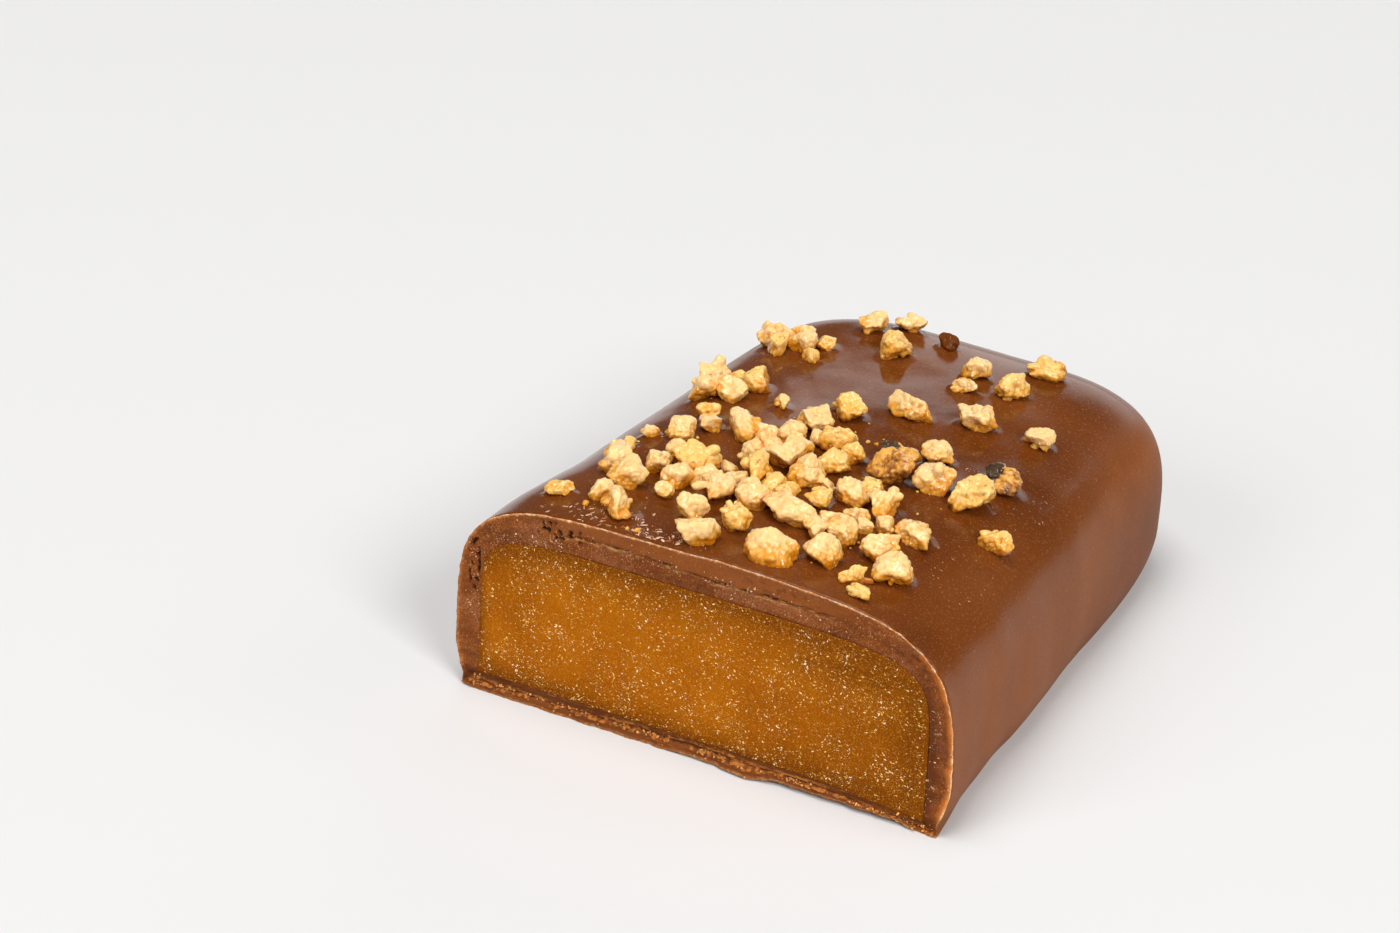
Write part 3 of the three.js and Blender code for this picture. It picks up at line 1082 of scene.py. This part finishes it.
def fillingShade(skin, x, z):  # painted shade on its face at the edges and towards the right, and a brown smudge
    wide = halfWidthAt(skin, 0, z)
    roof = domeAt(skin, min(1, abs(x) / wide))
    away = {"top": roof - z, "base": z - floorAt(skin, x), "right": wide - x, "left": wide + x}
    shades = [math.exp(-max(0, away[side]) / filling["shadeWidth"][side]) for side in away]
    smudge = filling["smudge"]
    reach, reachUp = smudge["reach"]
    smudged = math.hypot((x - smudge["across"]) / reach, (z - smudge["up"]) / reachUp)
    shades.append(smudge["shade"] * bell(smudged, 1) * (1 + grain(x * 0.4, 0, z, 0.5, 63)))
    return max(shades) + filling["rightShade"] * smoothStep(0, 17, x)


def makeFilling():
    skin = makeSkin(walls, filling["overlap"])
    bm = gridBox(filling["steps"])
    shade = bm.verts.layers.float.new("shade")
    for vert in bm.verts:
        spot = vert.co.copy()
        vert.co = addWaves(bend(skin, spot))
        vert[shade] = 1
        if spot.y < atFront:
            x, y, z = vert.co
            vert[shade] = fillingShade(skin, x, z)
            relief = filling["relief"] * grain(x, 0, z, 1.3, 61)
            vert.co.y += filling["behind"] - relief - filling["fineRelief"] * grain(x, 0, z, 0.35, 67)
    finishPiece(bm, "filling", [toffee], "toffee", "toffee_filling")


makeFilling()

# the peanut pieces
peanutForm = {
    "grown": 1.1,  # knobs and corners stand out this far beyond the plain solid
    "breaks": (7, 12),  # how many flat sides
    "breakOffset": (0.5, 0.82),
    "horns": (1, 4),
    "hornAway": (0.5, 0.85),
    "hornRadius": (0.15, 0.33),
    "dents": (0, 2),
    "dentDepth": (0.1, 0.26),
    "dentWidth": 0.3,
    "rounding": 0.12,
    "fullReliefFrom": 2.8,  # millimetres long, and shorter pieces have less relief
    "lumpSize": 0.75,
    "lumpRise": 0.23,
    "knobSize": 0.3,
    "knobRise": 0.17,
    "fineSize": 0.13,
    "fineRise": 0.03,
    "toast": (0.5, 0.7),  # shares of the whole piece's toasting and of its toasted side
    "seed": 977,
}
peanutMarks = ("toast", "height", "crease", "skin")  # read by the material
skinSide = Vector((-0.75, -0.4, 0.52))
piecesAtOnce = 32  # peanut pieces in one mesh


def drawDirection(draw):
    height = draw(-1, 1)
    angle = draw(0, 2 * math.pi)
    flat = math.sqrt(1 - height * height)
    return Vector((flat * math.cos(angle), flat * math.sin(angle), height))


def smoothMin(a, b, width):
    share = max(0, width - abs(a - b)) / width
    return min(a, b) - share * share * width / 4


def makePeanutForm(draw):  # a chunk with flat breaks, horns and dents, as a distance in any direction
    form = peanutForm
    breaks = [(drawDirection(draw), draw(*form["breakOffset"])) for i in range(round(draw(*form["breaks"])))]
    horns = [
        (drawDirection(draw) * draw(*form["hornAway"]), draw(*form["hornRadius"]))
        for i in range(round(draw(*form["horns"])))
    ]
    dents = [(drawDirection(draw), draw(*form["dentDepth"])) for i in range(round(draw(*form["dents"])))]

    def distanceAt(direction):
        distance = 1
        for towards, offset in breaks:
            facing = direction.dot(towards)
            if facing > 0.1:
                distance = smoothMin(distance, offset / facing, form["rounding"])
        for centre, radius in horns:
            towards = direction.dot(centre)
            inside = towards**2 - centre.length_squared + radius**2
            if inside > 0 and towards > 0:
                distance = -smoothMin(-distance, -towards - math.sqrt(inside), form["rounding"])
        for towards, depth in dents:
            away = (1 - direction.dot(towards)) / form["dentWidth"] ** 2
            distance -= depth * math.exp(-away * 2)
        return distance

    return distanceAt


def addPeanut(bm, piece, draw, marks):
    form = peanutForm
    distanceAt = makePeanutForm(draw)
    verts = bmesh.ops.create_icosphere(bm, subdivisions=5, radius=1)["verts"]
    start = Vector((draw(0, 50), draw(0, 50), draw(0, 50)))
    size = Vector(piece["size"]) * form["grown"]
    relief = min(1, size.x / form["fullReliefFrom"])
    toasted = form["toast"][0] * draw(0, 1)
    toastedSide = drawDirection(draw)
    for vert in verts:
        direction = vert.co.copy()
        inSize = direction * distanceAt(direction) * size / 2
        away = noise.voronoi(inSize / form["knobSize"] + start)[0][0]
        rise = form["lumpRise"] * noise.noise(inSize / form["lumpSize"] + start)
        rise += form["fineRise"] * noise.noise(inSize / form["fineSize"] + start)
        vert.co = inSize + inSize.normalized() * relief * (rise - form["knobRise"] * away**2)
        facing = smoothStep(0.1, 0.9, direction.dot(toastedSide))
        # crease carries painted shade in the creases
        mark(vert, marks, crease=away, toast=toasted + form["toast"][1] * facing)
    low = Vector([min(v.co[i] for v in verts) for i in range(3)])
    high = Vector([max(v.co[i] for v in verts) for i in range(3)])
    middle = (low + high) / 2
    turn = Matrix.Rotation(math.radians(piece["turn"]), 3, "Z")
    x, y = piece["at"]
    place = Vector((x, y, topAt(x, y) + size.z * (0.5 - sunk)))
    for vert in verts:
        centred = vert.co - middle
        fitted = Vector([centred[i] * size[i] / (high[i] - low[i]) for i in range(3)])
        vert.co = place + turn @ fitted
        skin = piece["skinned"] * fitted.normalized().dot(skinSide)
        # height carries painted light on top and painted shade underneath
        mark(vert, marks, height=fitted.z / size.z, skin=skin)


def makePeanuts():
    draw = makeDraw(peanutForm["seed"])
    for kind in (*peanutLooks, "covered"):
        pieces = [piece for piece in peanutPieces if piece["kind"] == kind]
        look = (chocolate, "milk_chocolate") if kind == "covered" else (peanuts[kind], "peanut")
        for first in range(0, len(pieces), piecesAtOnce):
            bm = bmesh.new()
            marks = addMarks(bm, peanutMarks)
            for piece in pieces[first : first + piecesAtOnce]:
                addPeanut(bm, piece, draw, marks)
            bmesh.ops.recalc_face_normals(bm, faces=bm.faces)
            name = f"{kind}_peanuts_{first // piecesAtOnce}"
            finishPiece(bm, name, [look[0]], look[1], "chocolate_coating")


makePeanuts()


def layOn(start, direction, lift):  # a place on the coating, turned to lie along it
    place, normal, face, away = coatingSurface.ray_cast(Vector(start), Vector(direction))
    if place is None or place.y > bar["length"]:
        return None
    return turnedAlong(place + normal * lift, normal)


def layOnTop(x, y, lift):
    return layOn((x, y, 2 * bar["height"]), (0, 0, -1), lift)


def layOnCut(side, along, share, lift):  # along runs across on top and base and up on the walls
    if side == "top":
        x, z = along, topAt(along, 0) - share * walls["top"]
    elif side == "base":
        x, z = along, share * floorAt(cavitySkin, along)
    else:
        z = along
        x = halfWidthAt(outerSkin, 0, z) - share * walls["side"]
        x = x if side == "right" else -x
    return layOn((x, -5, z), (0, 1, 0), lift)


# crumbs of peanut among the pieces
peanutCrumbs = {
    "placed": [  # across, along and radius
        (-10.6, 2.7, 0.34),
        (-5.5, 0.8, 0.27),
        (-6.2, 0.7, 0.18),
        (6.6, 21.2, 0.3),
    ],
    "centre": (0, 13),
    "reach": (13, 13),
    "count": 46,
    "smallest": 0.08,
    "largest": 0.22,
    "cutMargin": 0.5,
    "widths": (0.6, 0.9),  # shares of the length
    "heights": (0.5, 0.8),
    "rough": 0.45,
    "lumpSize": 1.3,  # lumps in a radius
    # the crease mark's painted shade, the same all over
    "crease": 0.4,
    "lift": 0.3,  # of a radius
    "seed": 31,
}


def makePeanutCrumbs():
    look = peanutCrumbs
    draw = makeDraw(look["seed"])
    places = list(look["placed"])
    for i in range(look["count"]):
        x, y = drawSpot(draw, look)
        radius = drawSize(draw, look["smallest"], look["largest"])
        if y > look["cutMargin"]:
            places.append((x, y, radius))
    bm = bmesh.new()
    marks = addMarks(bm, peanutMarks)
    for x, y, radius in places:
        verts = bmesh.ops.create_icosphere(bm, subdivisions=2, radius=radius)["verts"]
        turn = Matrix.Rotation(draw(0, math.pi), 4, "Z")
        turn = turn @ Matrix.Diagonal((1, draw(*look["widths"]), draw(*look["heights"]), 1))
        place = layOnTop(x, y, radius * look["lift"]) @ turn
        toasted = draw(0, 1)
        for vert in verts:
            lump = noise.noise(vert.co / radius * look["lumpSize"] + Vector((x, y, 0)))
            mark(vert, marks, toast=toasted, crease=look["crease"])
            vert.co = place @ (vert.co * (1 + look["rough"] * lump))
    bmesh.ops.recalc_face_normals(bm, faces=bm.faces)
    finishPiece(bm, "peanut_crumbs", [peanuts["golden"]], "peanut", "chocolate_coating")


makePeanutCrumbs()


def scatterBits(name, material, slot, replaced, bits):
    # each bit is a matrix and its marks, and all are copies of one solid, doubled until there are enough
    bm = bmesh.new()
    bmesh.ops.create_icosphere(bm, subdivisions=1, radius=1)
    marks = addMarks(bm, bits[0][1])
    sizes = (len(bm.verts), len(bm.edges), len(bm.faces))
    made = 1
    while made < len(bits):
        more = min(made, len(bits) - made)
        groups = (bm.verts, bm.edges, bm.faces)
        chosen = [element for group, size in zip(groups, sizes) for element in list(group)[: more * size]]
        bmesh.ops.duplicate(bm, geom=chosen)
        made += more
    verts = list(bm.verts)
    for i, (matrix, values) in enumerate(bits):
        for vert in verts[i * sizes[0] : (i + 1) * sizes[0]]:
            vert.co = matrix @ vert.co
            mark(vert, marks, **values)
    finishPiece(bm, name, [material], slot, replaced, smooth=False)


# shavings and crumbs of chocolate, on top and along the edges of the cut
shavings = {
    "patches": [
        {"centre": (-8.0, 1.4), "reach": (6.0, 1.3), "count": 110, "largest": 0.34, "paleness": 1},
        {"centre": (-3.2, 0.9), "reach": (3.4, 0.7), "count": 60, "largest": 0.3, "paleness": 1},
        {"centre": (9.4, 22.5), "reach": (0.8, 0.35), "count": 16, "largest": 0.4, "paleness": 0.8},
        {"centre": (-9.5, 4.2), "reach": (4.0, 2.6), "count": 26, "largest": 0.26, "paleness": 0.8},
        {"centre": (-0.5, 9.0), "reach": (2.6, 2.0), "count": 22, "largest": 0.26, "paleness": 0.8},
        {"centre": (13.6, 21.0), "reach": (2.0, 3.4), "count": 22, "largest": 0.15, "paleness": 0.5},
        {"centre": (14.0, 9.5), "reach": (2.4, 4.6), "count": 34, "largest": 0.15, "paleness": 0.5},
        {"centre": (3, 22), "reach": (15, 21), "count": 80, "largest": 0.1, "paleness": 0.5},
    ],
    "slenderness": (0.14, 0.4),
    "thickness": 0.03,
    "lift": 0.012,
    "cutMargin": 0.1,
    "onCut": [  # side, from and to along it, from and to across it, how many, largest and warmth
        ("base", (-18.4, 17.8), (0.46, 0.64), 420, 0.12, 1),
        ("base", (-18.4, 17.8), (0.02, 0.46), 110, 0.08, 1),
        ("base", (-18.5, -16.8), (0.1, 0.8), 60, 0.11, 0.9),
        ("base", (15.2, 18.3), (0.0, 1.4), 44, 0.15, 1),
        ("top", (-7, 6.5), (0.38, 0.62), 170, 0.07, 0.3),
        ("top", (-17, -10.5), (0.55, 1.02), 170, 0.08, 0),
        ("top", (-13, -6), (0.15, 0.7), 80, 0.06, 0.8),
        ("top", (-17, 16), (0.0, 0.05), 150, 0.07, 0.3),
        ("top", (-17, 16), (0.05, 0.95), 140, 0.045, 0.4),
        ("top", (2, 15), (0.6, 1.0), 60, 0.06, 0.2),
        ("right", (1.5, 9.5), (0.45, 1.0), 110, 0.07, 0.2),
        ("right", (1, 13), (0.0, 0.06), 90, 0.06, 0.4),
        ("left", (5.5, 13), (0.35, 1.0), 110, 0.07, 0.5),
    ],
    "sizesOnCut": ((0.8, 2), (0.5, 1), (0.4, 0.8)),  # length, width and thickness for each radius
    "liftOnCut": 0.25,  # of a radius
    "smallest": 0.02,  # half lengths
    "thinnest": 0.018,
    "clusterSize": 1.1,
    "clusterLevel": -0.15,
    "seed": 83,
}


def makeShavings():
    draw = makeDraw(shavings["seed"])
    bits = []

    def addBit(place, form, paleness, warmth):
        pale = paleness * draw(0, 1)
        if place is not None:
            bits.append((place @ form, {"shine": pale, "warmth": warmth}))

    for patch in shavings["patches"]:
        for i in range(patch["count"]):
            x, y = drawSpot(draw, patch)
            length = drawSize(draw, shavings["smallest"], patch["largest"])
            width = max(length * draw(*shavings["slenderness"]), shavings["thinnest"])
            turn = Matrix.Rotation(draw(0, math.pi), 4, "Z")
            form = turn @ Matrix.Diagonal((length, width, shavings["thickness"], 1))
            if y > shavings["cutMargin"]:
                addBit(layOnTop(x, y, shavings["lift"]), form, patch["paleness"], 0)
    for side, alongRange, depthRange, count, largest, warmth in shavings["onCut"]:
        for i in range(count):
            along = draw(*alongRange)
            share = draw(*depthRange)
            radius = drawSize(draw, shavings["smallest"], largest)
            turn = Matrix.Rotation(draw(0, math.pi), 4, "Z")
            sizes = [draw(*sizeRange) for sizeRange in shavings["sizesOnCut"]]
            form = turn @ Matrix.Diagonal((*sizes, 1)) @ Matrix.Scale(radius, 4)
            if grain(along, share, 0, shavings["clusterSize"], 89) > shavings["clusterLevel"]:
                place = layOnCut(side, along, share, radius * shavings["liftOnCut"])
                addBit(place, form, 1, warmth)
    scatterBits("chocolate_shavings", shaving, "milk_chocolate", "chocolate_coating", bits)


makeShavings()

# sugar crystals in the filling's cut face
crystals = {
    "count": 9200,
    "seed": 5,
    "smallest": 0.02,  # half lengths
    "largest": 0.14,
    "power": 7,
    "slenderness": (0.2, 0.48),
    "flatness": 0.35,
    "lean": -15,
    "leanSpread": 75,
    "tilt": 0.4,
    "density": 0.45,
    "clusterSize": 2.4,
    "fineClusterSize": 0.7,
    "margin": 0.15,
    "above": 0.3,  # how far over the cavity's crown places are tried
}


def inFilling(x, z):
    wide = halfWidthAt(cavitySkin, 0, z) - crystals["margin"]
    if abs(x) > wide or z < floorAt(cavitySkin, x):
        return False
    return z <= domeAt(cavitySkin, abs(x) / wide) + waveUp(x, 0) - crystals["margin"]


def makeCrystals():
    draw = makeDraw(crystals["seed"])
    lowest = cavitySkin["floor"] - cavitySkin["thinned"]
    bits = []
    while len(bits) < crystals["count"]:
        x = draw(-1, 1) * cavitySkin["halfWide"]
        z = draw(lowest, cavitySkin["high"] + crystals["above"])
        if not inFilling(x, z):
            continue
        density = crystals["density"] + grain(x, 0, z, crystals["clusterSize"], 71)
        if draw(0, 1) > density + 0.5 * grain(x, 0, z, crystals["fineClusterSize"], 73):
            continue
        length = drawSize(draw, crystals["smallest"], crystals["largest"], crystals["power"])
        width = length * draw(*crystals["slenderness"])
        lean = math.radians(crystals["lean"] + draw(-1, 1) * crystals["leanSpread"])
        tilt = crystals["tilt"]
        turn = Euler((draw(-tilt, tilt), lean, draw(-tilt, tilt))).to_matrix().to_4x4()
        form = Matrix.Diagonal((length, length * crystals["flatness"], width, 1))
        place = Matrix.Translation((x, filling["behind"], z))
        bits.append((place @ turn @ form, {"shine": draw(0, 1)}))
    scatterBits("sugar_crystals", sugar, "sugar", "toffee_filling", bits)


makeCrystals()

# the stage
stage = {
    "floorSize": 5,
    "floorColour": (0.70, 0.695, 0.69),
    "floorRoughness": 0.9,
    "sky": 0.12,
    "lights": [
        {"at": (-0.15, -0.2, 1.5), "size": (0.8, 0.8), "power": 15.3},
        {"at": (-0.5, -1.1, 0.8), "size": (0.7, 0.7), "power": 5.8},
        {"at": (1.1, -0.75, 1.0), "size": (0.6, 0.6), "power": 16.5},
        {"at": (1.35, 0.7, 1.0), "size": (0.6, 0.6), "power": 2.6},
        {"at": (-0.23, 1.85, 0.44), "size": (1.35, 0.8), "power": 5.0},
    ],
}


def makeFloor():
    bm = bmesh.new()
    bmesh.ops.create_grid(bm, x_segments=1, y_segments=1, size=stage["floorSize"] / 2)
    material = bpy.data.materials.new("floor")
    material.use_nodes = True
    finishMaterial(material, stage["floorColour"], stage["floorRoughness"], {})
    floor = addMesh(bm, "floor", [material])


def makeLights():
    for i, light in enumerate(stage["lights"]):
        data = bpy.data.lights.new(f"softbox_{i}", "AREA")
        data.shape = "RECTANGLE"
        data.size, data.size_y = light["size"]
        data.energy = light["power"]
        lamp = addObject(f"softbox_{i}", data)
        lamp.matrix_world = turnedAlong(Vector(light["at"]), Vector(light["at"]))
    world = bpy.data.worlds.new("world")
    world.use_nodes = True
    background = world.node_tree.nodes["Background"]
    background.inputs["Color"].default_value = (1, 1, 1, 1)
    background.inputs["Strength"].default_value = stage["sky"]
    bpy.context.scene.world = world


makeFloor()
makeLights()
bpy.context.scene.view_settings.view_transform = "Standard"

print("dressed")
